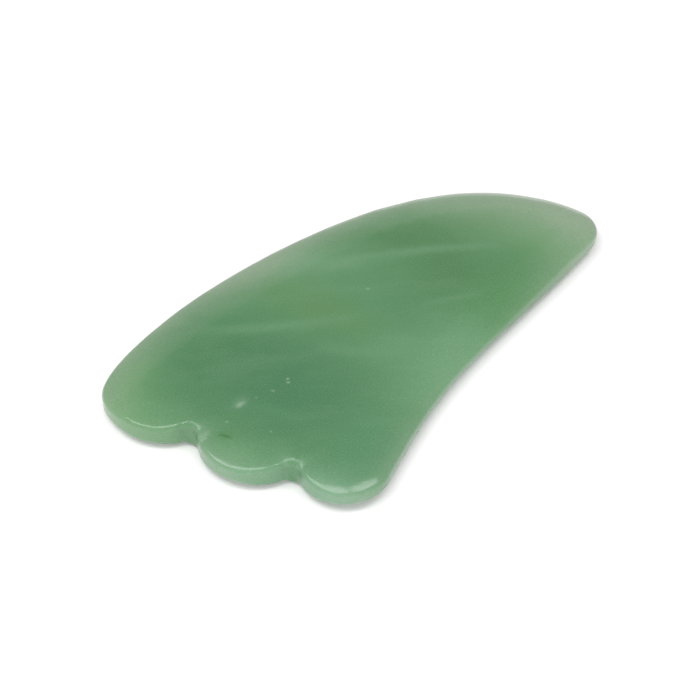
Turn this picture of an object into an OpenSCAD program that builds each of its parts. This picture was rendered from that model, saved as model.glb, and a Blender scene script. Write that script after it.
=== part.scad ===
// Comb-ended hand scraper, shaped and polished from one piece of green stone.
// A flat plate with three rounded lobes across one end, two long edges that
// thin towards their rims, and a blunt rounded tip at the other end.
// The scraper lies flat: +X runs from the lobes to the tip and +Z is up. The
// origin is the middle of its length and width, on the face it rests on.

/* [Plate] */
// Length from the heel lobe to the end of the tip
body_l = 110; // [90:1:140]
// Width from the crest of the back edge to the bottom of the toe lobe
body_w = 64; // [52:1:80]
// Thickness between the two flat faces
body_t = 6.5; // [5.4:0.1:9]

/* [Comb end] */
// Radius of the toe lobe, the smallest of the three
toe_r = 9; // [7:0.1:11]
// Radius of the heel's outer side, between its lobe and the back edge
heel_r = 16; // [12:0.5:24]
// How far each lobe overlaps the next one
lobe_bite = 1.6; // [0.8:0.1:2.4]
// How far the middle lobe stands out from the line of the other two
comb_bow = 1.2; // [0:0.1:2]
// Lean of the row of lobes from straight across the plate, in degrees
comb_lean = 20; // [10:1:26]
// Radius at the bottom of the notches between the lobes
notch_r = 2.2; // [1.6:0.1:3]
// Bearing at which the heel lobe passes into its flatter outer side
heel_start = 196; // [186:1:204]
// Bearing at which the outer side passes into the shoulder
heel_end = 168; // [160:1:176]
// Radius of the shoulder between the heel's outer side and the back edge
shoulder_r = 7.5; // [7:0.1:10]
// Bearing at which the shoulder passes into the back edge
shoulder_end = 126; // [116:1:136]
// Bearing at which the front edge passes into the toe lobe
toe_start = -63.5; // [-72:0.5:-54]

/* [Long edges] */
// Height of the back edge's crest above the top of the heel lobe
crest_rise = 6.8; // [4:0.1:9]
// Place of the crest along the length, measured from the middle
crest_x = -11.5; // [-20:0.5:0]
// Fullness of the back edge where it climbs from the shoulder to its crest
climb_full = 0.7; // [0.5:0.01:0.85]
// Fullness of the back edge on the heel side of the crest
crest_heel_full = 0.26; // [0.15:0.01:0.35]
// Fullness of the back edge on the tip side of the crest
crest_tip_full = 0.62; // [0.4:0.01:0.7]
// Fullness of the back edge where it reaches the tip
tip_back_full = 0.22; // [0.15:0.01:0.35]
// Fullness of the hollow front edge where it leaves the tip
tip_front_full = 0.52; // [0.35:0.01:0.6]
// Fullness of the hollow front edge where it reaches the toe lobe
toe_full = 0.41; // [0.25:0.01:0.5]

/* [Tip] */
// Radius of the rounded tip
tip_r = 7; // [6:0.1:9]
// Sideways place of the tip's centre, measured from the middle of the width
tip_y = -3.1; // [-8:0.1:4]
// Bearing at which the back edge meets the tip
tip_start = 16; // [4:1:30]
// Bearing at which the front edge leaves the tip
tip_end = -78; // [-86:1:-64]
// Length over which both faces fall towards the tip
tip_run = 18; // [10:1:28]
// How far each face has fallen at the end of the tip
tip_fall = 0.8; // [0:0.1:1]

/* [Rims] */
// How far each face rounds down to the rim of the heel lobe
heel_drop = 1.05; // [0.4:0.05:1.6]
// Slope of that rounding at the rim, in degrees
heel_slope = 17; // [14:1:30]
// How far each face rounds down to the rim of the shoulder
shoulder_drop = 1.2; // [0.4:0.05:1.6]
// Slope of that rounding at the rim, in degrees
shoulder_slope = 23; // [18:1:34]
// How far each face rounds down to the rim of the back edge
back_drop = 1.95; // [0.8:0.05:2]
// Slope of that rounding at the rim, in degrees
back_slope = 24; // [18:1:34]
// How far each face rounds down to the rim of the tip
tip_drop = 1.15; // [0.4:0.05:1.2]
// Slope of that rounding at the rim, in degrees
tip_slope = 27; // [23:1:34]
// How far each face rounds down to the rim of the hollow front edge
front_drop = 2; // [0.6:0.05:2]
// Slope of that rounding at the rim, in degrees
front_slope = 24; // [18:1:34]
// How far each face rounds down to the rim of the toe lobe
toe_drop = 1.65; // [0.4:0.05:1.8]
// Slope of that rounding at the rim, in degrees
toe_slope = 25; // [18:1:34]
// How far each face rounds down to the rim of the middle lobe
lobe_drop = 1.35; // [0.4:0.05:1.6]
// Slope of that rounding at the rim, in degrees
lobe_slope = 19; // [16:1:30]
// How far each face rounds down to the rim inside the notches
notch_drop = 0.1; // [0:0.05:0.6]
// Slope of that rounding at the rim, in degrees
notch_slope = 18; // [14:1:30]
// Radius of the corners between the rim and the roundings
corner_r = 1.1; // [0.5:0.1:1.4]
// Depth that lapping takes off the crown of each face to make it flat
lap = 0.1; // [0.05:0.01:0.2]

/* [Hidden] */

// Fineness of the outline: degrees between points on the arcs, millimetres
// between points on the long edges
arc_turn = 8;
curve_step = 3.7;
// Fineness of a rim's section: steps on its corner and on its rounding
corner_steps = 3;
round_steps = 5;

// The three lobes fill the width below the crest, so their radius follows
// from it.
lean_c = cos(comb_lean);
lean_s = sin(comb_lean);
comb_w = body_w - crest_rise - toe_r * (1 + lean_c) + 2 * lobe_bite * lean_c;
lobe_r = comb_w / (3 * lean_c + 1);

// Centres of the heel's arcs, the lobes and the tip
heel_turn = [cos(heel_start), sin(heel_start)] * (lobe_r - heel_r);
heel_c = [-body_l / 2 + heel_r - heel_turn.x, body_w / 2 - crest_rise - lobe_r];
heel_side_c = heel_c + heel_turn;
row_dir = [lean_s, -lean_c];
row_out = [-lean_c, -lean_s];
middle_c = heel_c + row_dir * (2 * lobe_r - lobe_bite) + row_out * comb_bow;
toe_c = heel_c + row_dir * (3 * lobe_r + toe_r - 2 * lobe_bite);
tip_c = [body_l / 2 - tip_r, tip_y];
crest = [crest_x, body_w / 2];

// A point on a circle, and the way round it that keeps the plate on the right
function polar(r, a) = [r * cos(a), r * sin(a)];
function heading(a) = [sin(a), -cos(a)];
function bearing(c, p) = atan2(p.y - c.y, p.x - c.x);
function whole_turn(a) = a < 0 ? a + 360 : a;

// Centre of the arc that rounds the notch between two lobes
function notch_centre(c1, r1, c2, r2) =
    let (
        d = c2 - c1,
        span = norm(d),
        u = d / span,
        a = r1 + notch_r,
        b = r2 + notch_r,
        along = (a * a - b * b + span * span) / (2 * span),
        off = sqrt(a * a - along * along)
    )
    c1 + u * along + [u.y, -u.x] * off;

upper_notch_c = notch_centre(heel_c, lobe_r, middle_c, lobe_r);
lower_notch_c = notch_centre(middle_c, lobe_r, toe_c, toe_r);

// Rim shapes: drop from the face, slope of the rounding and corner radius
heel_rim = [heel_drop, heel_slope, corner_r];
shoulder_rim = [shoulder_drop, shoulder_slope, corner_r];
back_rim = [back_drop, back_slope, corner_r];
tip_rim = [tip_drop, tip_slope, corner_r];
front_rim = [front_drop, front_slope, corner_r];
toe_rim = [toe_drop, toe_slope, corner_r];
lobe_rim = [lobe_drop, lobe_slope, corner_r];
notch_rim = [notch_drop, notch_slope, corner_r];
heel_shoulder_rim = (heel_rim + shoulder_rim) / 2;
heel_notch_rim = (heel_rim + notch_rim) / 2;
lobe_notch_rim = (lobe_rim + notch_rim) / 2;
toe_notch_rim = (toe_rim + notch_rim) / 2;

// Smooth change from one rim shape through another to a third
function ease(t) = (1 - cos(180 * t)) / 2;
function mix(a, b, t) = a + (b - a) * t;
function rim_at(a, m, b, u) =
    u < 0.5 ? mix(a, m, ease(2 * u)) : mix(m, b, ease(2 * u - 1));

// A station of the outline: its point, the way inwards, its rim shape and how
// far in its rounding may reach. The side is -1 on a lobe, whose centre is
// inside and limits the reach, and 1 in a notch. The reach grows along an edge
// with the distance from the lobe or tip at its ends.
reach_limit = 0.88;
open_reach = body_w / 4;
function arc(c, r, a0, a1, rims, side = -1) =
    let (n = ceil(abs(a1 - a0) / arc_turn))
    [
        for (i = [0 : n - 1])
            let (a = mix(a0, a1, i / n))
                [c + polar(r, a), polar(side, a), rim_at(rims[0], rims[1], rims[2], i / n),
                    side < 0 ? r * reach_limit : open_reach]
    ];

// A cubic curve between two points, with a control point for each, and the
// reach at each end
function curve(p0, p1, p2, p3, rims, reach0, reach1) =
    let (span = norm(p3 - p0), n = ceil(span / curve_step))
    [
        for (i = [0 : n - 1])
            let (
                u = i / n,
                v = 1 - u,
                p = v * v * v * p0 + 3 * v * v * u * p1 + 3 * v * u * u * p2 + u * u * u * p3,
                t = v * v * (p1 - p0) + 2 * v * u * (p2 - p1) + u * u * (p3 - p2)
            )
                [p, [t.y, -t.x] / norm(t), rim_at(rims[0], rims[1], rims[2], u),
                    min(open_reach, reach0 + u * span, reach1 + v * span)]
    ];

// Ends of the long edges
shoulder_c = heel_side_c + polar(heel_r - shoulder_r, heel_end);
back_start = shoulder_c + polar(shoulder_r, shoulder_end);
back_end = tip_c + polar(tip_r, tip_start);
front_start = tip_c + polar(tip_r, tip_end);
front_end = toe_c + polar(toe_r, toe_start);
rise_l = norm(crest - back_start);
climb = heading(shoulder_end) * (crest.y - back_start.y) / heading(shoulder_end).y;
fall_l = norm(back_end - crest);
front_l = norm(front_end - front_start);

// The outline, clockwise from the notch below the heel lobe
outline = concat(
    arc(heel_c, lobe_r, whole_turn(bearing(heel_c, upper_notch_c)), heel_start,
        [heel_notch_rim, heel_rim, heel_rim]),
    arc(heel_side_c, heel_r, heel_start, 180, [heel_rim, heel_rim, heel_shoulder_rim]),
    arc(heel_side_c, heel_r, 180, heel_end, [heel_shoulder_rim, shoulder_rim, shoulder_rim]),
    arc(shoulder_c, shoulder_r, heel_end, shoulder_end,
        [shoulder_rim, shoulder_rim, shoulder_rim]),
    curve(back_start, back_start + climb * climb_full,
        crest - [rise_l * crest_heel_full, 0], crest,
        [shoulder_rim, (shoulder_rim + back_rim) / 2, back_rim],
        shoulder_r * reach_limit, open_reach),
    curve(crest, crest + [fall_l * crest_tip_full, 0],
        back_end - heading(tip_start) * fall_l * tip_back_full, back_end,
        [back_rim, (back_rim + tip_rim) / 2, tip_rim],
        open_reach, tip_r * reach_limit),
    arc(tip_c, tip_r, tip_start, 0, [tip_rim, tip_rim, tip_rim]),
    arc(tip_c, tip_r, 0, tip_end, [tip_rim, tip_rim, tip_rim]),
    curve(front_start, front_start + heading(tip_end) * front_l * tip_front_full,
        front_end - heading(toe_start) * front_l * toe_full, front_end,
        [tip_rim, front_rim, toe_rim],
        tip_r * reach_limit, toe_r * reach_limit),
    arc(toe_c, toe_r, toe_start, -90, [toe_rim, toe_rim, toe_rim]),
    arc(toe_c, toe_r, -90, whole_turn(bearing(toe_c, lower_notch_c)) - 360,
        [toe_rim, toe_rim, toe_notch_rim]),
    arc(lower_notch_c, notch_r, bearing(lower_notch_c, toe_c),
        bearing(lower_notch_c, middle_c), [toe_notch_rim, notch_rim, lobe_notch_rim], 1),
    arc(middle_c, lobe_r, whole_turn(bearing(middle_c, lower_notch_c)),
        whole_turn(bearing(middle_c, upper_notch_c)),
        [lobe_notch_rim, lobe_rim, lobe_notch_rim]),
    arc(upper_notch_c, notch_r, bearing(upper_notch_c, middle_c),
        bearing(upper_notch_c, heel_c), [lobe_notch_rim, notch_rim, heel_notch_rim], 1)
);
count = len(outline);

// How far the faces have fallen at a place along the length
function fall(x) =
    let (t = max(0, (x - body_l / 2 + tip_run) / tip_run))
    tip_fall * t * t;

// The rim's corner and its rounding, as [inset, height] from rim to crown.
// A thin rim limits its corner radius to this share of half the rim.
corner_limit = 0.8;
function rim_profile(rim, reach) =
    let (
        rim_h = body_t / 2 - rim[0],
        r = min(rim[2], corner_limit * rim_h),
        slope = rim[1],
        start_in = r * (1 - sin(slope)),
        start_z = body_t / 2 + rim_h - r * (1 - cos(slope)),
        rise = body_t + lap - start_z,
        run = min(2 * rise / tan(slope), reach - start_in)
    )
    concat(
        [for (i = [0 : corner_steps - 1])
            let (a = mix(90, slope, i / corner_steps))
                [r * (1 - sin(a)), body_t / 2 + rim_h - r * (1 - cos(a))]],
        [for (i = [0 : round_steps])
            let (s = 1 - i / round_steps)
                [start_in + run * (1 - s), body_t + lap - rise * s * s]]
    );
profiles = [for (s = outline) rim_profile(s[2], s[3])];
rim_count = len(profiles[0]);

// Rings of points over one face: the rim's, then shares of the way in to the
// middle
middle = [-15, 3];
inner = [0.93, 0.85, 0.7, 0.35];
rim_rings = [
    for (k = [0 : rim_count - 1]) [
        for (j = [0 : count - 1])
            let (p = outline[j][0] + outline[j][1] * profiles[j][k][0])
                [p.x, p.y, profiles[j][k][1] - fall(p.x)]
    ]
];
inner_rings = [
    for (f = inner) [
        for (q = rim_rings[rim_count - 1])
            let (p = middle + ([q.x, q.y] - middle) * f)
                [p.x, p.y, body_t + lap - fall(p.x)]
    ]
];
face_rings = concat(rim_rings, inner_rings);
last = len(face_rings) - 1;

// The whole skin runs from the upper face's innermost ring out over the rim
// to the lower face's innermost ring
rings = concat(
    [for (k = [0 : last]) face_rings[last - k]],
    [for (k = [0 : last]) [for (p = face_rings[k]) [p.x, p.y, body_t - p.z]]]
);
rows = len(rings);
function at(k, j) = k * count + j % count;
skin_points = concat(
    [for (ring = rings) for (p = ring) p],
    [[middle.x, middle.y, body_t + lap], [middle.x, middle.y, -lap]]
);
skin_faces = concat(
    [for (j = [0 : count - 1]) [rows * count, at(0, j), at(0, j + 1)]],
    [for (k = [0 : rows - 2]) for (j = [0 : count - 1])
        [at(k, j + 1), at(k, j), at(k + 1, j)]],
    [for (k = [0 : rows - 2]) for (j = [0 : count - 1])
        [at(k, j + 1), at(k + 1, j), at(k + 1, j + 1)]],
    [for (j = [0 : count - 1])
        [rows * count + 1, at(rows - 1, j + 1), at(rows - 1, j)]]
);

// The rounded blank before its faces are lapped
module blank() {
    polyhedron(points = skin_points, faces = skin_faces, convexity = 4);
}

// The space between the two lapped faces
module lapping_gap() {
    margin = 5;
    translate([-body_l / 2 - margin, -body_w / 2 - margin, 0])
        cube([body_l + 2 * margin, body_w + 2 * margin, body_t]);
}

// The finished stone plate
module scraper_plate() {
    color([0.42, 0.62, 0.46])
        intersection() {
            blank();
            lapping_gap();
        }
}

scraper_plate();
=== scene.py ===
"""A comb-ended hand scraper of polished green stone, lying flat on a pale floor.

Everything is in metres in the part's own frame: +X runs from the lobes to the tip, +Z is up, and the origin
is the middle of the plate on the face that it rests on. Sizes that a maker would give in millimetres are
written with the MM factor. Places in the stone's material are in plain millimetres.
"""

import logging
import math
from dataclasses import astuple, dataclass, replace
from enum import Enum

import bmesh
import bpy
import numpy as np
from mathutils import Matrix, Vector, noise
from mathutils.geometry import delaunay_2d_cdt


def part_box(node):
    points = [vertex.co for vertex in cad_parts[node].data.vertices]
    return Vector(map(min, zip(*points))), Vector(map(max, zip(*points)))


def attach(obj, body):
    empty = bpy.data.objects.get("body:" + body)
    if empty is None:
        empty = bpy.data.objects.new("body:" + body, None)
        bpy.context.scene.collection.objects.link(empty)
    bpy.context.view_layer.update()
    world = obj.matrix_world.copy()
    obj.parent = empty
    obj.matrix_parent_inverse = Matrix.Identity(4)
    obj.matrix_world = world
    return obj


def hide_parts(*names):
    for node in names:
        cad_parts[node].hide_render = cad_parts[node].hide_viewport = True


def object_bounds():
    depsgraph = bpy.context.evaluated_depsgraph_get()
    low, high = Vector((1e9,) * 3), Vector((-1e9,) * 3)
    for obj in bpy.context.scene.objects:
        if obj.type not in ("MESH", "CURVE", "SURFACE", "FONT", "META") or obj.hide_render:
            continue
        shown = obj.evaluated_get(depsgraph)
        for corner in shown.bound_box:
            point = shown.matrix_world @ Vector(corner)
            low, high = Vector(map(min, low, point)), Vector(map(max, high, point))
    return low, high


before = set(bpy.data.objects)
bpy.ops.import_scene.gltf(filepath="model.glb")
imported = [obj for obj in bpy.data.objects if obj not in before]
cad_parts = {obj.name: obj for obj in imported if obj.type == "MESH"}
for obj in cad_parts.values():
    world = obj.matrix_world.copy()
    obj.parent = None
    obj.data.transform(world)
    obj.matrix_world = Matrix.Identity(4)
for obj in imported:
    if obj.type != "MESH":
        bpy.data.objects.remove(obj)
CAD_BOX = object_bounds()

MM = 0.001
log = logging.getLogger("scraper")

Colour = tuple[float, float, float]
Place = tuple[float, float, float]
Point = tuple[float, float]


# ---------------------------------------------------------------- shader maths


class Wire:
    """A shader socket that can be used in sums, as a number or as a vector."""

    def __init__(self, graph: "Graph", socket: bpy.types.NodeSocket) -> None:
        """Wraps one output socket.

        Args:
            graph: The graph that new nodes go into.
            socket: The output that carries the value.
        """
        self.graph = graph
        self.socket = socket

    def _sum(self, operation: str, first: "Value", second: "Value") -> "Wire":
        """Adds one Math node.

        Args:
            operation: The Math node's operation.
            first: Its first value.
            second: Its second value.

        Returns:
            The node's result.
        """
        return self.graph.node("ShaderNodeMath", {"operation": operation}, {0: first, 1: second})

    def __add__(self, other: "Value") -> "Wire":
        """Returns this value plus another."""
        return self._sum("ADD", self, other)

    def __radd__(self, other: "Value") -> "Wire":
        """Returns another value plus this one."""
        return self._sum("ADD", other, self)

    def __sub__(self, other: "Value") -> "Wire":
        """Returns this value less another."""
        return self._sum("SUBTRACT", self, other)

    def __rsub__(self, other: "Value") -> "Wire":
        """Returns another value less this one."""
        return self._sum("SUBTRACT", other, self)

    def __mul__(self, other: "Value") -> "Wire":
        """Returns this value times another."""
        return self._sum("MULTIPLY", self, other)

    def __rmul__(self, other: "Value") -> "Wire":
        """Returns another value times this one."""
        return self._sum("MULTIPLY", other, self)

    def __pow__(self, other: "Value") -> "Wire":
        """Returns this value to a power."""
        return self._sum("POWER", self, other)

    def __rpow__(self, other: "Value") -> "Wire":
        """Returns a number to the power of this value."""
        return self._sum("POWER", other, self)

    def __neg__(self) -> "Wire":
        """Returns this value with its sign changed."""
        return self._sum("MULTIPLY", self, -1.0)


Value = Wire | float | Colour


class Graph:
    """The node tree of one material."""

    def __init__(self, name: str) -> None:
        """Starts a material with an empty tree.

        Args:
            name: The material's name.
        """
        self.material = bpy.data.materials.new(name)
        self.material.use_nodes = True
        self.tree = self.material.node_tree
        self.tree.nodes.clear()

    def node(
        self,
        kind: str,
        settings: dict[str, object] | None = None,
        inputs: dict[str | int, Value] | None = None,
        output: str | int = 0,
    ) -> Wire | None:
        """Adds a node.

        Args:
            kind: The node's type name.
            settings: Its properties, which are set first. A list under "stops" fills a colour ramp.
            inputs: Values or wires for its input sockets, by name or number.
            output: The output socket to return.

        Returns:
            That output, or nothing from a node that has none.
        """
        node = self.tree.nodes.new(kind)
        for key, value in (settings or {}).items():
            if key == "stops":
                self._fill_ramp(node, value)
            else:
                setattr(node, key, value)
        for key, value in (inputs or {}).items():
            socket = node.inputs[key]
            if isinstance(value, Wire):
                self.tree.links.new(value.socket, socket)
            elif isinstance(value, tuple) and len(socket.default_value) == 4:
                socket.default_value = (*value, 1.0)
            else:
                socket.default_value = value
        return Wire(self, node.outputs[output]) if node.outputs else None

    @staticmethod
    def _fill_ramp(node: bpy.types.Node, stops: list[tuple[float, float]]) -> None:
        """Sets a colour ramp's grey stops.

        Args:
            node: The ramp node.
            stops: Pairs of position and grey level.
        """
        ramp = node.color_ramp
        ramp.interpolation = "EASE"
        while len(ramp.elements) < len(stops):
            ramp.elements.new(0.5)
        for element, (position, level) in zip(ramp.elements, stops):
            element.position = position
            element.color = (level, level, level, 1.0)

    def ramp(self, value: Wire, *stops: tuple[float, float]) -> Wire:
        """Returns a value passed through a smooth ramp of grey levels."""
        return self.node("ShaderNodeValToRGB", {"stops": list(stops)}, {0: value})

    def mix(self, first: Value, second: Value, share: Value) -> Wire:
        """Mixes two colours.

        Args:
            first: The colour at share 0.
            second: The colour at share 1.
            share: How much of the second colour shows.

        Returns:
            The mixed colour.
        """
        settings = {"data_type": "RGBA", "clamp_factor": True}
        return self.node("ShaderNodeMix", settings, {0: share, 6: first, 7: second}, 2)

    def noise(
        self, place: Wire, scale: float, detail: float, roughness: float = 0.5, output: str = "Fac"
    ) -> Wire:
        """Adds a noise texture.

        Args:
            place: Where it is read, in millimetres.
            scale: Features per millimetre.
            detail: Octaves.
            roughness: How strongly the small octaves count.
            output: "Fac" for a value around 0.5 or "Color" for three.

        Returns:
            The noise.
        """
        values = {"Vector": place, "Scale": scale, "Detail": detail, "Roughness": roughness}
        return self.node("ShaderNodeTexNoise", {}, values, output)


# ------------------------------------------------------------------- the stone


TOP_LEVEL = CAD_BOX[1][2] / MM  # the upper face above the floor, in millimetres
THROUGH = 1000.0  # a depth, in millimetres, that reaches right through the plate


class Tone(Enum):
    """The colours that the stone is made of, some of which also paint light and shade near its edges."""

    GROUND = (0.072, 0.207, 0.083)
    INK = (0.040, 0.156, 0.066)
    PINE = (0.042, 0.160, 0.056)
    OLIVE = (0.052, 0.168, 0.054)
    MOSS = (0.083, 0.206, 0.071)
    LEAF = (0.054, 0.196, 0.058)
    SEA = (0.064, 0.206, 0.094)
    MILK = (0.124, 0.272, 0.140)
    HAY = (0.135, 0.285, 0.120)
    ICE = (0.183, 0.315, 0.208)
    FROST = (0.232, 0.325, 0.213)
    CHALK = (0.420, 0.540, 0.420)
    CRACK = (0.030, 0.095, 0.020)
    RUST = (0.090, 0.085, 0.040)


@dataclass(frozen=True)
class Patch:
    """A soft oval patch on the plate.

    Its centre and radii are in millimetres, its turn is in degrees and its weight is its share at the
    centre. It fades away above and below its level over its depth, which are in millimetres too.
    """

    centre: Point
    radii: Point
    turn: float
    weight: float
    level: float = TOP_LEVEL
    depth: float = THROUGH


@dataclass(frozen=True)
class Vein:
    """A thin seam between two places that bows sideways in its middle.

    Its places, width and bow are in millimetres and its weight is its share on its line. It fades away below
    the upper face over its depth, which is in millimetres too.
    """

    start: Point
    end: Point
    width: float
    bow: float
    weight: float
    depth: float = THROUGH


@dataclass(frozen=True)
class Swirl:
    """A smooth drift of places in the stone: its swirls per millimetre and its reach in millimetres."""

    pitch: float
    reach: float


@dataclass(frozen=True)
class GreenStone:
    """The finish of the plate: cloudy green quartz, polished, with paler edges that are painted glow of the
    light through its thin rims.

    The glow is the light that spreads below the surface and the ripple is the faint unevenness of the
    polish. The fleck depth, in millimetres, is how far flecks and scratches go down from the upper face, and
    the end taper sets how soon a vein thins towards its ends.
    """

    roughness: float = 0.09
    haze: float = 0.05
    refraction: float = 1.54
    glow_share: float = 0.3
    glow_spread: Colour = (0.8, 1.6, 1.0)
    glow_depth: float = 1.2 * MM
    ripple: float = 0.05
    ripple_height: float = 0.4 * MM
    clouding: Swirl = Swirl(0.06, 5.0)
    feathering: Swirl = Swirl(0.35, 1.6)
    wavering: Swirl = Swirl(0.25, 1.4)
    trembling: Swirl = Swirl(1.8, 0.35)
    even_edge: float = 0.45
    streaky_edge: float = 0.7
    fleck_depth: float = 1.6
    end_taper: float = 0.6
    # where the painted edge glow turns from a frost tone to a cooler ice tone
    cool_end: Patch = Patch((-42.0, -22.0), (20.0, 26.0), 0.0, 1.0)
    clouds: tuple[tuple[Tone, Patch], ...] = (
        (Tone.INK, Patch((-27.0, -1.0), (13.0, 19.0), 8.0, 0.9)),
        (Tone.PINE, Patch((-32.0, 14.0), (12.0, 9.0), -30.0, 0.8)),
        (Tone.SEA, Patch((-28.0, -25.0), (13.0, 5.0), 20.0, 0.7)),
        (Tone.MOSS, Patch((-7.0, 12.0), (7.0, 14.0), 12.0, 0.7)),
        (Tone.SEA, Patch((4.0, 4.0), (5.0, 10.0), 10.0, 0.5)),
        (Tone.OLIVE, Patch((19.0, 1.0), (10.0, 9.0), 35.0, 0.9)),
        (Tone.OLIVE, Patch((21.0, 15.0), (12.0, 6.0), -25.0, 0.75)),
        (Tone.LEAF, Patch((22.0, -10.0), (12.0, 5.0), 12.0, 0.7)),
        (Tone.MOSS, Patch((35.0, 6.0), (5.0, 8.0), 35.0, 0.5)),
        (Tone.MILK, Patch((2.0, -17.0), (14.0, 6.5), 14.0, 0.9)),
        (Tone.MILK, Patch((-3.0, -8.0), (7.0, 5.0), -40.0, 0.35)),
        (Tone.MILK, Patch((-1.0, 25.0), (8.0, 5.0), -40.0, 0.8)),
        (Tone.MILK, Patch((6.0, 17.5), (6.0, 2.5), -40.0, 0.6)),
        # painted light: this patch and the six after it are paler to paint the glow and reflection along the
        # tip, the back edge and the heel's outer edge
        (Tone.HAY, Patch((43.0, -5.0), (7.0, 13.0), 10.0, 0.6)),
        (Tone.FROST, Patch((40.0, 12.5), (16.0, 6.0), -40.0, 0.6)),
        (Tone.FROST, Patch((51.5, 0.0), (9.0, 14.0), 10.0, 1.0)),
        (Tone.FROST, Patch((51.5, -4.5), (5.5, 6.0), 0.0, 0.6)),
        (Tone.HAY, Patch((-56.0, 12.0), (6.5, 12.0), 0.0, 0.5)),
        (Tone.FROST, Patch((-8.0, 29.5), (12.0, 5.0), 0.0, 0.6)),
        (Tone.HAY, Patch((-47.0, 22.0), (9.0, 5.5), 40.0, 0.6)),
        # painted shade: darker along the hollow front edge, which faces away from the light
        (Tone.LEAF, Patch((22.0, -15.5), (9.0, 5.0), 12.0, 0.5)),
        (Tone.MILK, Patch((3.0, -18.5), (12.0, 4.5), 14.0, 0.55)),
        (Tone.HAY, Patch((-45.0, -9.0), (4.0, 5.0), 0.0, 0.3)),
        (Tone.ICE, Patch((-39.0, -27.0), (4.0, 4.0), 0.0, 0.35)),
    )
    veins: tuple[tuple[Tone, Vein], ...] = (
        (Tone.MILK, Vein((-31.0, 23.0), (-3.0, 3.0), 1.4, -0.8, 0.35)),
        (Tone.MILK, Vein((5.0, 19.0), (34.0, -1.0), 1.2, 0.8, 0.45)),
        (Tone.MILK, Vein((8.0, -2.5), (20.0, -8.5), 1.0, 0.5, 0.3)),
        (Tone.MILK, Vein((-15.0, 3.0), (-2.0, -12.0), 1.8, -1.0, 0.3)),
        (Tone.SEA, Vein((-38.0, 2.0), (-30.0, -12.0), 1.2, 0.8, 0.35)),
    )
    flecks: tuple[tuple[Tone, Patch], ...] = (
        (Tone.CHALK, Patch((-36.3, 0.1), (1.0, 0.5), -8.0, 0.25)),
        (Tone.CHALK, Patch((-36.9, -0.2), (0.6, 0.5), 0.0, 0.16)),
        (Tone.CHALK, Patch((-36.0, 0.5), (1.9, 1.2), 20.0, 0.1)),
        (Tone.CHALK, Patch((-25.2, -0.7), (0.28, 0.28), 0.0, 0.35)),
        (Tone.CHALK, Patch((-25.8, -1.5), (0.3, 0.3), 0.0, 0.35)),
        (Tone.CHALK, Patch((-29.5, -1.3), (0.25, 0.4), 30.0, 0.26)),
        (Tone.CHALK, Patch((-33.0, -0.6), (0.3, 0.2), 0.0, 0.18)),
        (Tone.CHALK, Patch((-41.3, -1.9), (0.3, 0.2), 0.0, 0.28)),
        (Tone.CHALK, Patch((-36.8, -9.4), (0.2, 0.25), 0.0, 0.22)),
        (Tone.CHALK, Patch((3.5, 8.3), (0.3, 0.3), 0.0, 0.28)),
        (Tone.CHALK, Patch((-47.2, -1.0), (1.3, 0.8), 50.0, 0.16)),
        (Tone.LEAF, Patch((-43.6, -4.2), (1.6, 1.0), -60.0, 0.6)),
        (Tone.CHALK, Patch((-46.3, -1.4), (1.2, 0.7), 20.0, 0.22)),
    )
    chip_dust: Patch = Patch((-47.2, 4.6), (0.3, 1.3), -25.0, 0.35, 1.2, 0.5)
    scratches: tuple[tuple[Tone, Vein], ...] = (
        (Tone.CRACK, Vein((-44.6, -3.2), (-43.2, -6.0), 0.3, 0.15, 0.55)),
        (Tone.CHALK, Vein((-48.6, -0.2), (-46.8, -0.9), 0.12, 0.1, 0.45)),
        (Tone.CHALK, Vein((-48.2, -1.3), (-46.4, -2.2), 0.12, -0.1, 0.4)),
        (Tone.SEA, Vein((-26.9, -5.6), (-26.1, -6.3), 0.12, 0.0, 0.8)),
    )
    dull: tuple[Patch, ...] = (
        Patch((-46.3, 2.2), (2.6, 2.6), 0.0, 0.15),
        Patch((-38.2, -17.5), (2.6, 2.6), 0.0, 0.15),
    )

    def build(self) -> bpy.types.Material:
        """Makes the material.

        Returns:
            The finished material.
        """
        graph = Graph("green_stone")
        coords = graph.node("ShaderNodeTexCoord", output="Object")
        place = graph.node("ShaderNodeVectorMath", {"operation": "SCALE"}, {0: coords, "Scale": 1.0 / MM})
        height = graph.noise(place, scale=0.35, detail=3.0)
        values = {"Strength": self.ripple, "Distance": self.ripple_height, "Height": height}
        polish = graph.node("ShaderNodeBump", {}, values)
        surface = graph.node(
            "ShaderNodeBsdfPrincipled",
            {},
            {
                "Base Color": self._colour(graph, place),
                "Roughness": self._gloss(graph, place),
                "IOR": self.refraction,
                "Subsurface Weight": self.glow_share,
                "Subsurface Radius": self.glow_spread,
                "Subsurface Scale": self.glow_depth,
                "Normal": polish,
            },
        )
        graph.node("ShaderNodeOutputMaterial", {}, {"Surface": surface})
        return graph.material

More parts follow.
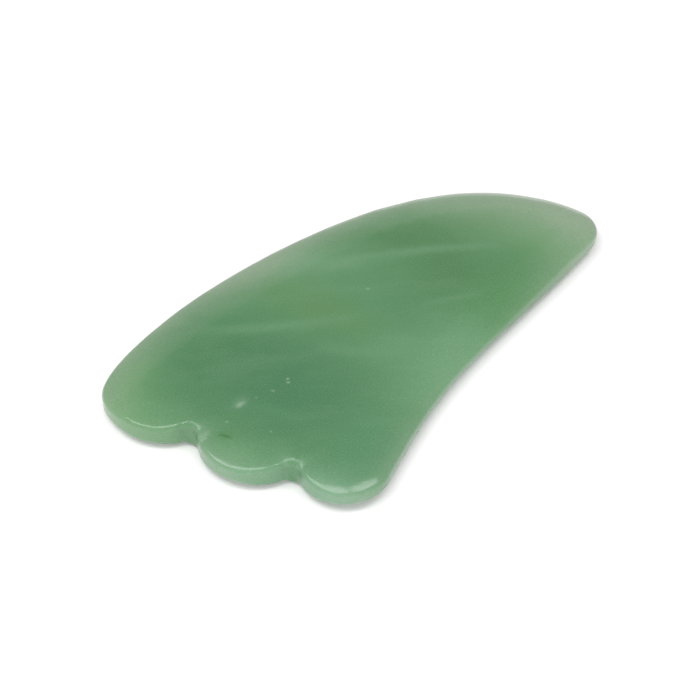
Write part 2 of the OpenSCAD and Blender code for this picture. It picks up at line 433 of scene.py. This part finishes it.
    def _colour(self, graph: Graph, place: Wire) -> Wire:
        """Lays the stone's tones over each other.

        Args:
            graph: The material's graph.
            place: The place in the stone, in millimetres.

        Returns:
            The stone's colour.
        """
        clouded = self._stir(graph, self._stir(graph, place, self.clouding), self.feathering)
        wavering = self._stir(graph, place, self.wavering)
        trembling = self._stir(graph, place, self.trembling)
        colour: Value = Tone.GROUND.value
        for tone, cloud in self.clouds:
            colour = graph.mix(colour, tone.value, self._patch(graph, clouded, cloud))
        colour = graph.mix(colour, Tone.MILK.value, self._wisps(graph, clouded))
        for tone, vein in self.veins:
            colour = graph.mix(colour, tone.value, self._seam(graph, wavering, vein))
        colour = self._paint_edge_glow(graph, place, clouded, colour)
        for tone, fleck in self.flecks:
            mask = self._patch(graph, trembling, replace(fleck, depth=self.fleck_depth))
            colour = graph.mix(colour, tone.value, mask)
        colour = graph.mix(colour, Tone.CHALK.value, self._patch(graph, trembling, self.chip_dust))
        for tone, scratch in self.scratches:
            mask = self._seam(graph, trembling, replace(scratch, depth=self.fleck_depth))
            colour = graph.mix(colour, tone.value, mask)
        return self._grain(graph, place, colour)

    def _gloss(self, graph: Graph, place: Wire) -> Wire:
        """Dulls the polish a little in places.

        Args:
            graph: The material's graph.
            place: The place in the stone, in millimetres.

        Returns:
            The roughness.
        """
        gloss = self.roughness + graph.noise(place, scale=0.9, detail=3.0) * self.haze
        for patch in self.dull:
            gloss = gloss + self._patch(graph, place, patch)
        return gloss

    def _paint_edge_glow(self, graph: Graph, place: Wire, clouded: Wire, colour: Wire) -> Wire:
        """Paints the glow of the light that comes through the thin edges, as a paler colour near them.

        Args:
            graph: The material's graph.
            place: The place in the stone, in millimetres.
            clouded: The same place, shifted as the clouds are.
            colour: The colour so far.

        Returns:
            The colour with its painted edge glow, cooler at the toe.
        """
        # painted light: the share of edge glow that the mesh carries at each point
        thin = graph.node("ShaderNodeAttribute", {"attribute_name": "painted_edge_glow"}, output="Fac")
        pale = graph.mix(Tone.FROST.value, Tone.ICE.value, self._patch(graph, place, self.cool_end))
        streaks = graph.noise(clouded, scale=0.12, detail=2.0)
        # the glow through the edges is painted into the colour, streaky in places
        return graph.mix(colour, pale, thin * (self.even_edge + streaks * self.streaky_edge))

    @staticmethod
    def _stir(graph: Graph, place: Wire, swirl: Swirl) -> Wire:
        """Shifts places by a smooth noise.

        Args:
            graph: The material's graph.
            place: The place in the stone, in millimetres.
            swirl: How finely it swirls, and how far apart two places may be shifted.

        Returns:
            The shifted places.
        """
        drift = graph.noise(place, swirl.pitch, detail=2.0, roughness=0.55, output="Color")
        reach = (swirl.reach,) * 3
        half = (swirl.reach / 2.0,) * 3
        settings = {"operation": "MULTIPLY_ADD"}
        pushed = graph.node("ShaderNodeVectorMath", settings, {0: drift, 1: reach, 2: place})
        return graph.node("ShaderNodeVectorMath", {"operation": "SUBTRACT"}, {0: pushed, 1: half})

    @staticmethod
    def _local(graph: Graph, place: Wire, centre: Place, radii: Place, turn: float) -> Wire:
        """Measures places from a centre, along turned axes.

        Args:
            graph: The material's graph.
            place: The place in the stone, in millimetres.
            centre: The new origin.
            radii: The lengths that count as one along the three axes.
            turn: The turn of the axes about the upright, in degrees.

        Returns:
            The places in those axes.
        """
        values = {
            "Vector": place,
            "Location": centre,
            "Rotation": (0.0, 0.0, math.radians(turn)),
            "Scale": radii,
        }
        return graph.node("ShaderNodeMapping", {"vector_type": "TEXTURE"}, values)

    def _patch(self, graph: Graph, place: Wire, patch: Patch) -> Wire:
        """Makes a patch's mask.

        Args:
            graph: The material's graph.
            place: The place in the stone, in millimetres.
            patch: The patch to draw.

        Returns:
            A value that falls from the patch's weight at its centre to nothing outside it.
        """
        centre = (*patch.centre, patch.level)
        local = self._local(graph, place, centre, (*patch.radii, patch.depth), patch.turn)
        settings = {"operation": "DOT_PRODUCT"}
        reach = graph.node("ShaderNodeVectorMath", settings, {0: local, 1: local}, "Value")
        return patch.weight * math.e ** (-reach)

    def _seam(self, graph: Graph, place: Wire, vein: Vein) -> Wire:
        """Makes a vein's mask.

        Args:
            graph: The material's graph.
            place: The place in the stone, in millimetres.
            vein: The seam to draw.

        Returns:
            A value that falls from the vein's weight on its line to nothing beside it and past its ends.
        """
        way = (vein.end[0] - vein.start[0], vein.end[1] - vein.start[1])
        length = math.hypot(*way)
        turn = math.degrees(math.atan2(way[1], way[0]))
        sizes = (length, vein.width, vein.depth)
        local = self._local(graph, place, (*vein.start, TOP_LEVEL), sizes, turn)
        along, across, below = (
            graph.node("ShaderNodeSeparateXYZ", {}, {0: local}, axis) for axis in ("X", "Y", "Z")
        )
        swell = 4.0 * along * (1.0 - along)
        off = across - swell * (vein.bow / vein.width)
        inside = graph.node("ShaderNodeMath", {"operation": "MAXIMUM"}, {0: swell, 1: 0.0})
        return vein.weight * inside**self.end_taper * math.e ** (-(off * off + below * below))

    def _wisps(self, graph: Graph, place: Wire) -> Wire:
        """Makes faint drawn-out milky streaks that run across the plate.

        Args:
            graph: The material's graph.
            place: The place in the stone, in millimetres.

        Returns:
            The share of milk.
        """
        drawn = self._local(graph, place, (0.0, 0.0, 0.0), (20.0, 6.0, 6.0), -36.0)
        return graph.ramp(graph.noise(drawn, scale=1.0, detail=4.0), (0.42, 0.0), (0.75, 0.22))

    @staticmethod
    def _grain(graph: Graph, place: Wire, colour: Wire) -> Wire:
        """Strews fine crystals and a few rusty dots over the colour.

        Args:
            graph: The material's graph.
            place: The place in the stone, in millimetres.
            colour: The colour so far.

        Returns:
            The speckled colour.
        """
        fine = graph.noise(place, scale=3.4, detail=3.0, roughness=0.8)
        dots = graph.noise(place, scale=1.1, detail=2.0, roughness=0.6)
        colour = graph.mix(colour, Tone.CHALK.value, graph.ramp(fine, (0.5, 0.0), (0.8, 0.2)))
        colour = graph.mix(colour, Tone.CRACK.value, graph.ramp(fine, (0.2, 0.42), (0.5, 0.0)))
        return graph.mix(colour, Tone.RUST.value, graph.ramp(dots, (0.74, 0.0), (0.79, 0.5)))


# ------------------------------------------------------------------- the plate


class Bend(Enum):
    """Which way an arc of the outline bends: the sign of the way inwards along its radius."""

    ROUND = -1
    HOLLOW = 1


@dataclass(frozen=True)
class Rim:
    """The section of the plate's edge.

    The drop from the face, the depth over which a painted glow of light through the edge makes the stone
    paler and the corner's radius are in metres, the slope is in degrees and pale is the share of that
    painted glow at the wall.
    """

    drop: float
    slope: float
    glow: float
    pale: float
    corner: float = 1.1 * MM

    def towards(self, other: "Rim", share: float) -> "Rim":
        """Returns the rim that lies a share of the way to another."""
        pairs = zip(astuple(self), astuple(other))
        return Rim(*(own + (far - own) * share for own, far in pairs))

    def halfway(self, other: "Rim") -> "Rim":
        """Returns the rim half way to another."""
        return self.towards(other, 0.5)


Rims = tuple[Rim, Rim, Rim]


@dataclass(frozen=True)
class Station:
    """A place on the outline: its point, the unit way inwards, its rim and how far in the rim may reach."""

    point: np.ndarray
    inward: np.ndarray
    rim: Rim
    reach: float


@dataclass(frozen=True)
class Nick:
    """A small chip on an edge.

    Its place, radius and depth are in millimetres, and its turn is the bearing of the way into the stone.
    """

    place: Place
    turn: float
    radius: float
    depth: float


def polar(radius: float, degrees: float) -> np.ndarray:
    """Returns the point of a circle at a bearing."""
    angle = math.radians(degrees)
    return np.array([radius * math.cos(angle), radius * math.sin(angle)])


def heading(degrees: float) -> np.ndarray:
    """Returns the way that a clockwise walk takes at a bearing of a circle."""
    angle = math.radians(degrees)
    return np.array([math.sin(angle), -math.cos(angle)])


def ease(share: float) -> float:
    """Returns a share from 0 to 1 with a slow start and end."""
    return (1.0 - math.cos(math.pi * share)) / 2.0


def rim_along(rims: Rims, share: float) -> Rim:
    """Blends three rims along a stretch of edge.

    Args:
        rims: The rims where the stretch starts, half way and where it ends.
        share: How far along, from 0 to 1.

    Returns:
        The rim there.
    """
    first, middle, last = rims
    if share < 0.5:
        return first.towards(middle, ease(2.0 * share))
    return middle.towards(last, ease(2.0 * share - 1.0))


@dataclass(frozen=True)
class Circle:
    """A circle that the outline follows for a stretch."""

    centre: np.ndarray
    radius: float

    def at(self, degrees: float) -> np.ndarray:
        """Returns its point at a bearing."""
        return self.centre + polar(self.radius, degrees)

    def bearing(self, other: "Circle") -> float:
        """Returns the bearing of another circle's centre, in degrees."""
        way = other.centre - self.centre
        return math.degrees(math.atan2(way[1], way[0]))


@dataclass(frozen=True)
class Plan:
    """The circles of the outline: three lobes, the heel's side and shoulder, the tip and two notches."""

    heel: Circle
    middle: Circle
    toe: Circle
    side: Circle
    shoulder: Circle
    tip: Circle
    upper_notch: Circle
    lower_notch: Circle


@dataclass
class ScraperPlate:
    """The whole scraper: one plate with three lobes, two thinned long edges and a rounded tip.

    Lengths are in metres, and bearings and the lean are in degrees. A curve's fullness is a share of its
    span. The face wave is a depth and the hand wave a share of the rim's drop, and each wanders over its
    pitch.
    """

    node: str = "scraper_plate"
    toe_r: float = 9.0 * MM
    heel_r: float = 16.0 * MM
    lobe_bite: float = 1.6 * MM
    comb_bow: float = 1.2 * MM
    comb_lean: float = 20.0
    notch_r: float = 2.2 * MM
    heel_start: float = 196.0
    heel_end: float = 168.0
    shoulder_r: float = 7.5 * MM
    shoulder_end: float = 126.0
    toe_start: float = -63.5
    crest_rise: float = 6.8 * MM
    crest_x: float = -11.5 * MM
    climb_full: float = 0.7
    crest_heel_full: float = 0.26
    crest_tip_full: float = 0.62
    tip_back_full: float = 0.22
    tip_front_full: float = 0.52
    toe_full: float = 0.41
    tip_r: float = 7.0 * MM
    tip_y: float = -3.1 * MM
    tip_start: float = 16.0
    tip_end: float = -78.0
    tip_run: float = 18.0 * MM
    tip_fall: float = 0.8 * MM
    heel_rim: Rim = Rim(1.05 * MM, 17.0, 3.2 * MM, 0.4)
    shoulder_rim: Rim = Rim(1.2 * MM, 23.0, 5.5 * MM, 0.75)
    back_rim: Rim = Rim(1.95 * MM, 24.0, 3.9 * MM, 1.15)
    tip_rim: Rim = Rim(1.15 * MM, 27.0, 5.5 * MM, 1.2)
    tip_front_rim: Rim = Rim(1.15 * MM, 27.0, 4.5 * MM, 0.5)
    front_rim: Rim = Rim(2.0 * MM, 24.0, 0.9 * MM, 0.2)
    toe_front_rim: Rim = Rim(1.65 * MM, 23.8, 2.2 * MM, 0.6)
    toe_rim: Rim = Rim(1.65 * MM, 23.8, 2.2 * MM, 1.25)
    lobe_rim: Rim = Rim(1.35 * MM, 20.0, 2.8 * MM, 0.9)
    notch_rim: Rim = Rim(0.1 * MM, 11.0, 2.4 * MM, 0.2)
    reach_limit: float = 0.88
    corner_limit: float = 0.8
    spacing: float = 0.27 * MM
    corner_steps: int = 8
    round_steps: int = 16
    wall_steps: int = 3
    face_grid: float = 1.2 * MM
    face_gap: float = 0.6
    face_weld: float = 1.0e-7
    face_wave: float = 0.006 * MM
    face_pitch: float = 17.0 * MM
    hand_wave: float = 0.07
    hand_pitch: float = 5.0 * MM
    hand_start: float = 7.0
    nick_slant: float = 0.5
    nicks: tuple[Nick, ...] = (
        Nick((-47.1, 4.2, 1.0), 70.0, 0.7, 0.28),
        Nick((-38.3, -17.4, 6.2), 20.0, 0.6, 0.12),
        Nick((-46.9, -2.6, 2.0), -21.0, 0.5, 0.12),
        Nick((-47.0, -0.9, 6.1), -25.0, 0.8, 0.1),
        Nick((-54.4, 12.0, 5.2), 0.0, 0.4, 0.08),
        Nick((-30.5, -31.6, 1.4), 90.0, 0.5, 0.12),
    )

    def __post_init__(self) -> None:
        """Reads the plate's sizes from the frame, and sets how far in its rims may reach."""
        low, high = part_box(self.node)
        self.length = high[0] - low[0]
        self.width = high[1] - low[1]
        self.thickness = high[2] - low[2]
        self.open_reach = self.width / 4

    def build(self) -> bpy.types.Object:
        """Builds the plate's mesh.

        Returns:
            The finished object, dressed and riding on its body.
        """
        piece = self._skin(*self._rings())
        piece.data.materials.append(GreenStone().build())
        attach(piece, "root")
        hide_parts(self.node)
        return piece

    def _arc(
        self, circle: Circle, first: float, last: float, rims: Rims, bend: Bend = Bend.ROUND
    ) -> list[Station]:
        """Walks round an arc.

        Args:
            circle: The circle that it lies on.
            first: The bearing it starts at.
            last: The bearing it ends at.
            rims: The rims at its start, middle and end.
            bend: Whether the plate lies inside the circle or outside it.

        Returns:
            Its stations, without the last.
        """
        count = max(2, round(circle.radius * math.radians(abs(last - first)) / self.spacing))
        reach = circle.radius * self.reach_limit if bend is Bend.ROUND else self.open_reach
        stations = []
        for i in range(count):
            turn = first + (last - first) * i / count
            rim = rim_along(rims, i / count)
            stations.append(Station(circle.at(turn), polar(bend.value, turn), rim, reach))
        return stations

    def _curve(self, points: list[np.ndarray], rims: Rims, radii: Point) -> list[Station]:
        """Walks along a cubic curve.

        Args:
            points: Its start, its two control points and its end.
            rims: The rims at its start, middle and end.
            radii: The radii of the arcs at its start and end, which limit the rim's reach there. Where
                there is no arc it is the plate's width, which doesn't limit it.

        Returns:
            Its stations, without the last.
        """
        start, pull, push, end = points
        span = float(np.linalg.norm(end - start))
        count = round(span / self.spacing)
        reaches = [radius * self.reach_limit for radius in radii]
        stations = []
        for i in range(count):
            u = i / count
            v = 1.0 - u
            point = v**3 * start + 3 * v * v * u * pull + 3 * v * u * u * push + u**3 * end
            along = v * v * (pull - start) + 2 * v * u * (push - pull) + u * u * (end - push)
            along = along / np.linalg.norm(along)
            reach = min(self.open_reach, reaches[0] + u * span, reaches[1] + v * span)
            stations.append(Station(point, np.array([along[1], -along[0]]), rim_along(rims, u), reach))
        return stations

    def _notch(self, first: Circle, second: Circle) -> Circle:
        """Finds the circle that rounds the notch between two lobes.

        Args:
            first: The lobe above it.
            second: The lobe below it.

        Returns:
            The notch's circle, which touches both and lies outside the plate.
        """
        span = float(np.linalg.norm(second.centre - first.centre))
        way = (second.centre - first.centre) / span
        a = first.radius + self.notch_r
        b = second.radius + self.notch_r
        along = (a * a - b * b + span * span) / (2.0 * span)
        off = math.sqrt(a * a - along * along)
        return Circle(first.centre + way * along + np.array([way[1], -way[0]]) * off, self.notch_r)

    def _plan(self) -> Plan:
        """Sets out the circles of the outline.

        Returns:
            The circles, where the three lobes fill the width that the crest leaves them.
        """
        lean = math.radians(self.comb_lean)
        cosine, sine = math.cos(lean), math.sin(lean)
        toe_share = self.toe_r * (1.0 + cosine)
        comb = self.width - self.crest_rise - toe_share + 2.0 * self.lobe_bite * cosine
        lobe_r = comb / (3.0 * cosine + 1.0)
        turn = polar(lobe_r - self.heel_r, self.heel_start)
        heel_x = -self.length / 2 + self.heel_r - turn[0]
        heel_c = np.array([heel_x, self.width / 2 - self.crest_rise - lobe_r])
        side_c = heel_c + turn
        shoulder_c = side_c + polar(self.heel_r - self.shoulder_r, self.heel_end)
        row = np.array([sine, -cosine])
        out = np.array([-cosine, -sine])
        middle_c = heel_c + row * (2.0 * lobe_r - self.lobe_bite) + out * self.comb_bow
        toe_c = heel_c + row * (3.0 * lobe_r + self.toe_r - 2.0 * self.lobe_bite)
        heel, middle, toe = Circle(heel_c, lobe_r), Circle(middle_c, lobe_r), Circle(toe_c, self.toe_r)
        return Plan(
            heel=heel,
            middle=middle,
            toe=toe,
            side=Circle(side_c, self.heel_r),
            shoulder=Circle(shoulder_c, self.shoulder_r),
            tip=Circle(np.array([self.length / 2 - self.tip_r, self.tip_y]), self.tip_r),
            upper_notch=self._notch(heel, middle),
            lower_notch=self._notch(middle, toe),
        )

    def _outline(self) -> list[Station]:
        """Walks clockwise round the outline from the notch below the heel lobe.

        Returns:
            The stations of the whole outline.
        """
        plan = self._plan()
        return self._heel_edge(plan) + self._back_edge(plan) + self._front_edge(plan) + self._comb_edge(plan)

    def _heel_edge(self, plan: Plan) -> list[Station]:
        """Walks round the heel lobe, its outer side and the shoulder.

        Args:
            plan: The outline's circles.

        Returns:
            The stations.
        """
        lobe_rims = (self.heel_rim.halfway(self.notch_rim), self.heel_rim, self.heel_rim)
        side_rims = (self.heel_rim, self.heel_rim.halfway(self.shoulder_rim), self.shoulder_rim)
        start = plan.heel.bearing(plan.upper_notch) % 360
        walk = self._arc(plan.heel, start, self.heel_start, lobe_rims)
        walk += self._arc(plan.side, self.heel_start, self.heel_end, side_rims)
        walk += self._arc(plan.shoulder, self.heel_end, self.shoulder_end, (self.shoulder_rim,) * 3)
        return walk

    def _back_edge(self, plan: Plan) -> list[Station]:
        """Walks up the bowed back edge from the shoulder to its crest, and down to the tip.

        Args:
            plan: The outline's circles.

        Returns:
            The stations.
        """
        start = plan.shoulder.at(self.shoulder_end)
        crest = np.array([self.crest_x, self.width / 2])
        end = plan.tip.at(self.tip_start)
        leaving = heading(self.shoulder_end)
        climb = leaving * (crest[1] - start[1]) / leaving[1]
        rise = float(np.linalg.norm(crest - start))
        fall = float(np.linalg.norm(end - crest))
        level = np.array([1.0, 0.0])
        before = crest - level * rise * self.crest_heel_full
        after = crest + level * fall * self.crest_tip_full
        arrival = end - heading(self.tip_start) * fall * self.tip_back_full
        climbing = (self.shoulder_rim, self.shoulder_rim.halfway(self.back_rim), self.back_rim)
        falling = (self.back_rim, self.back_rim.halfway(self.tip_rim), self.tip_rim)
        up = [start, start + climb * self.climb_full, before, crest]
        walk = self._curve(up, climbing, (self.shoulder_r, self.width))
        walk += self._curve([crest, after, arrival, end], falling, (self.width, self.tip_r))
        return walk

    def _front_edge(self, plan: Plan) -> list[Station]:
        """Walks round the tip and along the hollow front edge to the toe lobe.

        Args:
            plan: The outline's circles.

        Returns:
            The stations.
        """
        start = plan.tip.at(self.tip_end)
        end = plan.toe.at(self.toe_start)
        span = float(np.linalg.norm(end - start))
        pull = start + heading(self.tip_end) * span * self.tip_front_full
        push = end - heading(self.toe_start) * span * self.toe_full
        tip_rims = (self.tip_rim, self.tip_rim, self.tip_front_rim)
        front_rims = (self.tip_front_rim, self.front_rim, self.toe_front_rim)
        walk = self._arc(plan.tip, self.tip_start, self.tip_end, tip_rims)
        walk += self._curve([start, pull, push, end], front_rims, (self.tip_r, self.toe_r))
        return walk

    def _comb_edge(self, plan: Plan) -> list[Station]:
        """Walks round the toe lobe, the middle lobe and the two notches.

        Args:
            plan: The outline's circles.

        Returns:
            The stations.
        """
        toe, lower, middle, upper = plan.toe, plan.lower_notch, plan.middle, plan.upper_notch
        heel_notch, lobe_notch, toe_notch = (
            rim.halfway(self.notch_rim) for rim in (self.heel_rim, self.lobe_rim, self.toe_rim)
        )
        toe_rims = (self.toe_front_rim, self.toe_rim, toe_notch)
        lower_rims = (toe_notch, self.notch_rim, lobe_notch)
        middle_rims = (lobe_notch, self.lobe_rim, lobe_notch)
        upper_rims = (lobe_notch, self.notch_rim, heel_notch)
        start, end = middle.bearing(lower) % 360, middle.bearing(upper) % 360
        walk = self._arc(toe, self.toe_start, toe.bearing(lower) % 360 - 360, toe_rims)
        walk += self._arc(lower, lower.bearing(toe), lower.bearing(middle), lower_rims, Bend.HOLLOW)
        walk += self._arc(middle, start, end, middle_rims)
        walk += self._arc(upper, upper.bearing(middle), upper.bearing(plan.heel), upper_rims, Bend.HOLLOW)
        return walk

    def _profile(self, rim: Rim, reach: float) -> np.ndarray:
        """Draws the upper half of a rim's section.

        Args:
            rim: The rim to draw.
            reach: How far in it may go.

        Returns:
            Rows of inset and height, from the middle of the wall up to the flat face.
        """
        middle = self.thickness / 2
        half = middle - rim.drop
        corner = min(rim.corner, self.corner_limit * half)
        slope = math.radians(rim.slope)
        upright = math.pi / 2
        rows = [(0.0, middle + (half - corner) * i / self.wall_steps) for i in range(self.wall_steps)]
        for i in range(self.corner_steps):
            turn = upright + (slope - upright) * i / self.corner_steps
            rows.append((corner * (1 - math.sin(turn)), middle + half - corner * (1 - math.cos(turn))))
        inset = corner * (1 - math.sin(slope))
        rise = self.thickness - (middle + half - corner * (1 - math.cos(slope)))
        run = min(2 * rise / math.tan(slope), reach - inset)
        for i in range(self.round_steps + 1):
            share = 1 - i / self.round_steps
            rows.append((inset + run * (1 - share), self.thickness - rise * share**2))
        return np.array(rows)

    def _fall(self, x: np.ndarray) -> np.ndarray:
        """Returns how far the faces have fallen at places along the length."""
        share = np.clip((x - self.length / 2 + self.tip_run) / self.tip_run, 0.0, None)
        return self.tip_fall * share**2

    def _polished(self, station: Station) -> Rim:
        """Adds the slight unevenness of polishing by hand.

        Args:
            station: The place on the outline.

        Returns:
            Its rim, with a drop that wanders along the edge.
        """
        x, y = station.point
        wave = noise.noise(Vector((x / self.hand_pitch, y / self.hand_pitch, self.hand_start)))
        return replace(station.rim, drop=station.rim.drop * (1.0 + self.hand_wave * wave))

    def _nicked(self, points: np.ndarray) -> np.ndarray:
        """Presses the small chips into the skin.

        Args:
            points: The skin's points.

        Returns:
            The points, with those near a chip moved into the stone.
        """
        for nick in self.nicks:
            place = np.array(nick.place) * MM
            fall = np.exp(-np.sum((points - place) ** 2, axis=1) / (nick.radius * MM) ** 2)
            slant = self.nick_slant if place[2] < self.thickness / 2 else -self.nick_slant
            way = np.array([*polar(1.0, nick.turn), slant])
            points = points + way * (fall * nick.depth * MM)[:, None]
        return points

    def _rings(self) -> tuple[np.ndarray, np.ndarray]:
        """Lays out the upper half of the rim.

        Returns:
            Points as ring, station and coordinate, from the wall inwards, and the share of painted edge glow
            at each.
        """
        walk = self._outline()
        points = np.array([station.point for station in walk])
        inward = np.array([station.inward for station in walk])
        # the painted edge glow: how far in it reaches and how strong it is at the wall
        glow = np.array([station.rim.glow for station in walk])
        pale = np.array([station.rim.pale for station in walk])
        profiles = np.array([self._profile(self._polished(station), station.reach) for station in walk])
        insets = profiles[:, :, 0].T
        flat = points + inward * insets[..., None]
        lowered = np.minimum(np.arange(len(flat)) / self.wall_steps, 1.0)
        height = profiles[:, :, 1].T - self._fall(flat[..., 0]) * lowered[:, None]
        return np.concatenate([flat, height[..., None]], axis=2), pale * np.exp(-insets / glow)

    def _face(self, edge: np.ndarray) -> tuple[np.ndarray, list[list[int]]]:
        """Fills the flat of the upper face inside its rounded rim.

        Args:
            edge: The rim's innermost ring, clockwise.

        Returns:
            The points that it adds inside the ring, and faces that count the ring's points first.
        """
        steps = [np.arange(-half, half, self.face_grid) for half in (self.length / 2, self.width / 2)]
        cells = np.stack(np.meshgrid(*steps), axis=2).reshape(-1, 2)
        near = np.array([np.min(np.sum((edge[:, :2] - cell) ** 2, axis=1)) for cell in cells])
        cells = cells[near > (self.face_gap * self.face_grid) ** 2]
        count = len(edge)
        seeds = [Vector(p) for p in np.concatenate([edge[:, :2], cells]).tolist()]
        ring = list(range(count))[::-1]
        places, _, faces, origins, _, _ = delaunay_2d_cdt(seeds, [], [ring], 1, self.face_weld)
        inside = sorted({i for face in faces for i in face})
        added = [i for i in inside if origins[i][0] >= count]
        index = {i: origins[i][0] for i in inside} | {i: count + n for n, i in enumerate(added)}
        flat = np.array([places[i] for i in added])
        pitch = self.face_pitch
        wave = np.array([noise.noise(Vector((x / pitch, y / pitch, 0.0))) for x, y in flat])
        height = self.thickness - self._fall(flat[:, 0]) - self.face_wave * (1.0 + wave)
        return np.column_stack([flat, height]), [[index[i] for i in face] for face in faces]

    def _skin(self, rings: np.ndarray, thin: np.ndarray) -> bpy.types.Object:
        """Turns the upper half of the skin and its mirror image into one closed mesh.

        Args:
            rings: Points of the upper rim, from the wall inwards.
            thin: The share of painted edge glow at each point, falling towards 0 away from the wall.

        Returns:
            The mesh's object, smooth shaded, with that painted glow share as an attribute.
        """
        lower = rings[1:] * (1.0, 1.0, -1.0) + (0.0, 0.0, self.thickness)
        skin = np.concatenate([rings[::-1], lower])
        rows, count = skin.shape[:2]
        grid = np.arange(rows * count).reshape(rows, count)
        right = np.roll(grid, -1, axis=1)
        faces = np.stack([grid[:-1], right[:-1], right[1:], grid[1:]], axis=2).reshape(-1, 4).tolist()
        added, cap = self._face(rings[-1])
        mirrored = added * (1.0, 1.0, -1.0) + (0.0, 0.0, self.thickness)
        points = self._nicked(np.concatenate([skin.reshape(-1, 3), added, mirrored]))
        extra = np.arange(len(added)) + rows * count
        upper = np.concatenate([grid[0], extra]).tolist()
        under = np.concatenate([grid[-1], extra + len(added)]).tolist()
        faces += [[upper[i] for i in face] for face in cap]
        faces += [[under[i] for i in reversed(face)] for face in cap]
        # the painted edge glow at every point; the flat faces get none
        reach = np.concatenate([thin[::-1].ravel(), thin[1:].ravel(), np.zeros(2 * len(added))])
        mesh = bpy.data.meshes.new(self.node)
        mesh.from_pydata(points.tolist(), [], faces)
        values = mesh.attributes.new("painted_edge_glow", "FLOAT", "POINT").data
        values.foreach_set("value", reach.astype(np.float32))
        mesh.shade_smooth()
        piece = bpy.data.objects.new("stone_plate", mesh)
        bpy.context.collection.objects.link(piece)
        return piece


# ------------------------------------------------------------------ the studio


@dataclass(frozen=True)
class SoftLight:
    """A rectangular soft light.

    Its place is in metres from the plate: to the camera's right, away from the camera, and up. Its turn is
    about the upright, in degrees, and its dip tips it from facing down to facing away from the camera. Its
    radiance is compared with a white room's, and it may be kept out of reflections.
    """

    name: str
    place: Place
    size: Point
    turn: float
    dip: float
    radiance: float
    mirrored: bool


@dataclass
class Studio:
    """A pale floor, plain soft light and the camera, whose lens and sensor are in millimetres."""

    azimuth: float = -42.0
    elevation: float = 43.0
    distance: float = 0.45
    lens: float = 116.2
    shift: Point = (-0.0468, -0.0293)
    sensor: float = 36.0
    room_light: float = 0.7
    floor_half: float = 3.0
    floor_tone: Colour = (0.98, 0.955, 0.975)
    lights: tuple[SoftLight, ...] = (
        SoftLight("left_softbox", (-0.268, -0.121, 0.6), (0.58, 0.32), -27.0, 0.0, 3.2, True),
        SoftLight("right_softbox", (0.256, -0.022, 0.6), (0.38, 0.15), 35.0, 0.0, 3.5, True),
        SoftLight("front_fill", (0.0, -1.1, 0.5), (1.2, 0.8), 0.0, 65.0, 2.4, False),
    )

    def build(self) -> None:
        """Sets out the floor, the lights and the camera."""
        self._floor()
        self._sky()
        for light in self.lights:
            self._hang(light)
        self._camera()

    def _floor(self) -> None:
        """Lays the floor that the plate rests on."""
        rig = bmesh.new()
        half = self.floor_half
        signs = ((-1, -1), (1, -1), (1, 1), (-1, 1))
        rig.faces.new([rig.verts.new((x * half, y * half, 0.0)) for x, y in signs])
        mesh = bpy.data.meshes.new("floor")
        rig.to_mesh(mesh)
        rig.free()
        floor = bpy.data.objects.new("floor", mesh)
        bpy.context.collection.objects.link(floor)
        graph = Graph("floor_paper")
        paper = graph.node("ShaderNodeBsdfDiffuse", {}, {"Color": self.floor_tone})
        graph.node("ShaderNodeOutputMaterial", {}, {"Surface": paper})
        mesh.materials.append(graph.material)

    def _sky(self) -> None:
        """Fills the room with even white light."""
        world = bpy.data.worlds.new("room")
        world.use_nodes = True
        background = world.node_tree.nodes["Background"]
        background.inputs["Color"].default_value = (1.0, 1.0, 1.0, 1.0)
        background.inputs["Strength"].default_value = self.room_light
        bpy.context.scene.world = world

    def _hang(self, light: SoftLight) -> None:
        """Hangs a soft light.

        Args:
            light: The light to hang.
        """
        data = bpy.data.lights.new(light.name, "AREA")
        data.shape = "RECTANGLE"
        data.size, data.size_y = light.size
        data.energy = light.radiance * math.pi * light.size[0] * light.size[1]
        lamp = bpy.data.objects.new(light.name, data)
        lamp.location = Matrix.Rotation(math.radians(self.azimuth), 3, "Z") @ Vector(light.place)
        lamp.rotation_euler = (math.radians(light.dip), 0.0, math.radians(self.azimuth + light.turn))
        lamp.visible_glossy = light.mirrored
        bpy.context.collection.objects.link(lamp)

    def _camera(self) -> None:
        """Places the camera."""
        low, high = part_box("scraper_plate")
        target = (low + high) / 2
        azimuth, elevation = math.radians(self.azimuth), math.radians(self.elevation)
        back = Vector(
            (
                math.sin(azimuth) * math.cos(elevation),
                -math.cos(azimuth) * math.cos(elevation),
                math.sin(elevation),
            )
        )
        data = bpy.data.cameras.new("camera")
        data.sensor_width = self.sensor
        data.lens = self.lens
        data.shift_x, data.shift_y = self.shift
        camera = bpy.data.objects.new("camera", data)
        camera.location = target + back * self.distance
        camera.rotation_euler = (-back).to_track_quat("-Z", "Y").to_euler()
        bpy.context.collection.objects.link(camera)
        bpy.context.scene.camera = camera
        bpy.context.scene.view_settings.view_transform = "Standard"


def main() -> None:
    """Builds the studio and the plate."""
    logging.basicConfig(level=logging.INFO, format="%(name)s: %(message)s")
    Studio().build()
    plate = ScraperPlate().build()
    log.info("%s: %d faces", plate.name, len(plate.data.polygons))


if __name__ == "__main__":
    main()
